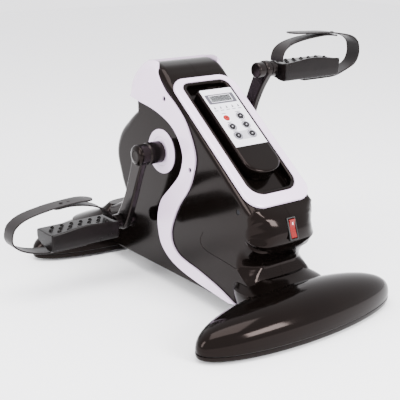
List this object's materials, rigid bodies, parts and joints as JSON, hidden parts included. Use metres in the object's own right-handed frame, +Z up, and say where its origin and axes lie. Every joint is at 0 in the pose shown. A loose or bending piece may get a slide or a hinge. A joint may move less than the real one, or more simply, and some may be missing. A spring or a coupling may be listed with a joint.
{
  "type": "pedal exerciser",
  "caption": "Free-standing motorised pedal exerciser with two strapped pedals on cranks, a sloping console with a lift-out handset, and two wide oval feet.",
  "frame": {"origin": "middle of the footprint on the floor", "axes": "+X to the machine's right side as seen from the console end, -Y towards the console end where the user sits, +Z up"},
  "size_m": [0.544, 0.518, 0.3571],
  "materials": {
    "black_gloss_abs": "gloss",
    "white_gloss_abs": "gloss",
    "black_matt_plastic": "matt",
    "label_face": "satin",
    "red_plastic": "gloss",
    "smoke_window": "gloss",
    "rubber": "matt",
    "steel": "satin",
    "frame_paint": "satin",
    "circuit_board": "satin"
  },
  "bodies": {
    "base": {"left_housing": "black_gloss_abs", "right_housing": "black_gloss_abs", "front_foot_cover": "black_gloss_abs", "rear_foot_cover": "black_gloss_abs", "left_trim": "white_gloss_abs", "right_trim": "white_gloss_abs", "console_bezel": "white_gloss_abs", "left_hub_cover": "white_gloss_abs", "right_hub_cover": "white_gloss_abs", "console_tray": "black_matt_plastic", "front_foot_base": "black_matt_plastic", "rear_foot_base": "black_matt_plastic", "mains_inlet": "black_matt_plastic", "switch_frame": "black_matt_plastic", "front_left_pad": "rubber", "front_right_pad": "rubber", "rear_left_pad": "rubber", "rear_right_pad": "rubber", "drive_belt": "rubber", "housing_screw_1": "steel", "housing_screw_2": "steel", "housing_screw_3": "steel", "left_bearing": "steel", "right_bearing": "steel", "motor": "steel", "base_beam": "frame_paint", "front_cross_tube": "frame_paint", "rear_cross_tube": "frame_paint", "crank_bracket": "frame_paint", "motor_bracket": "frame_paint", "control_board": "circuit_board"},
    "crank": {"crank_axle": "steel", "crank_pulley": "black_matt_plastic", "left_crank_arm": "black_gloss_abs", "right_crank_arm": "black_gloss_abs", "left_crank_cap": "black_gloss_abs", "right_crank_cap": "black_gloss_abs", "left_pedal_axle": "steel", "right_pedal_axle": "steel"},
    "left_pedal_body": {"left_pedal": "black_matt_plastic", "left_strap": "rubber"},
    "right_pedal_body": {"right_pedal": "black_matt_plastic", "right_strap": "rubber"},
    "motor_rotor": {"motor_pulley": "steel", "motor_shaft": "steel"},
    "rocker": {"rocker_switch": "red_plastic"},
    "handset": {"handset_front": "label_face", "handset_back": "black_gloss_abs", "handset_board": "circuit_board", "display_window": "smoke_window"},
    "key_start_stop": {"button_start_stop": "red_plastic"},
    "key_mode": {"button_mode": "black_matt_plastic"},
    "key_forward": {"button_forward": "black_matt_plastic"},
    "key_reverse": {"button_reverse": "black_matt_plastic"},
    "key_slower": {"button_slower": "black_matt_plastic"},
    "key_faster": {"button_faster": "black_matt_plastic"}
  },
  "joints": [
    {"name": "crank_spin", "type": "hinge", "parent": "base", "child": "crank", "pos_m": [0, 0.0195, 0.1987], "axis": [1, 0, 0], "continuous": true},
    {"name": "left_pedal_spin", "type": "hinge", "parent": "crank", "child": "left_pedal_body", "pos_m": [-0.164, 0.06914, 0.08978], "axis": [1, 0, 0], "continuous": true},
    {"name": "right_pedal_spin", "type": "hinge", "parent": "crank", "child": "right_pedal_body", "pos_m": [0.164, -0.03014, 0.30762], "axis": [1, 0, 0], "continuous": true},
    {"name": "motor_spin", "type": "hinge", "parent": "base", "child": "motor_rotor", "pos_m": [0, -0.078, 0.112], "axis": [1, 0, 0], "continuous": true},
    {"name": "rocker_tilt", "type": "hinge", "parent": "base", "child": "rocker", "pos_m": [0, -0.1925, 0.132], "axis": [1, 0, 0], "range_deg": [0, 10]},
    {"name": "handset_lift", "type": "slide", "parent": "base", "child": "handset", "axis": [0, -0.6046, 0.7965], "range_m": [0, 0.06]},
    {"name": "press_start_stop", "type": "slide", "parent": "handset", "child": "key_start_stop", "axis": [0, 0.6046, -0.7965], "range_m": [0, 0.0008], "stiffness_N_per_m": 400},
    {"name": "press_mode", "type": "slide", "parent": "handset", "child": "key_mode", "axis": [0, 0.6046, -0.7965], "range_m": [0, 0.0008], "stiffness_N_per_m": 400},
    {"name": "press_forward", "type": "slide", "parent": "handset", "child": "key_forward", "axis": [0, 0.6046, -0.7965], "range_m": [0, 0.0008], "stiffness_N_per_m": 400},
    {"name": "press_reverse", "type": "slide", "parent": "handset", "child": "key_reverse", "axis": [0, 0.6046, -0.7965], "range_m": [0, 0.0008], "stiffness_N_per_m": 400},
    {"name": "press_slower", "type": "slide", "parent": "handset", "child": "key_slower", "axis": [0, 0.6046, -0.7965], "range_m": [0, 0.0008], "stiffness_N_per_m": 400},
    {"name": "press_faster", "type": "slide", "parent": "handset", "child": "key_faster", "axis": [0, 0.6046, -0.7965], "range_m": [0, 0.0008], "stiffness_N_per_m": 400}
  ],
  "couplings": [
    {"joint": "motor_spin", "follows": "crank_spin", "ratio": 4}
  ]
}
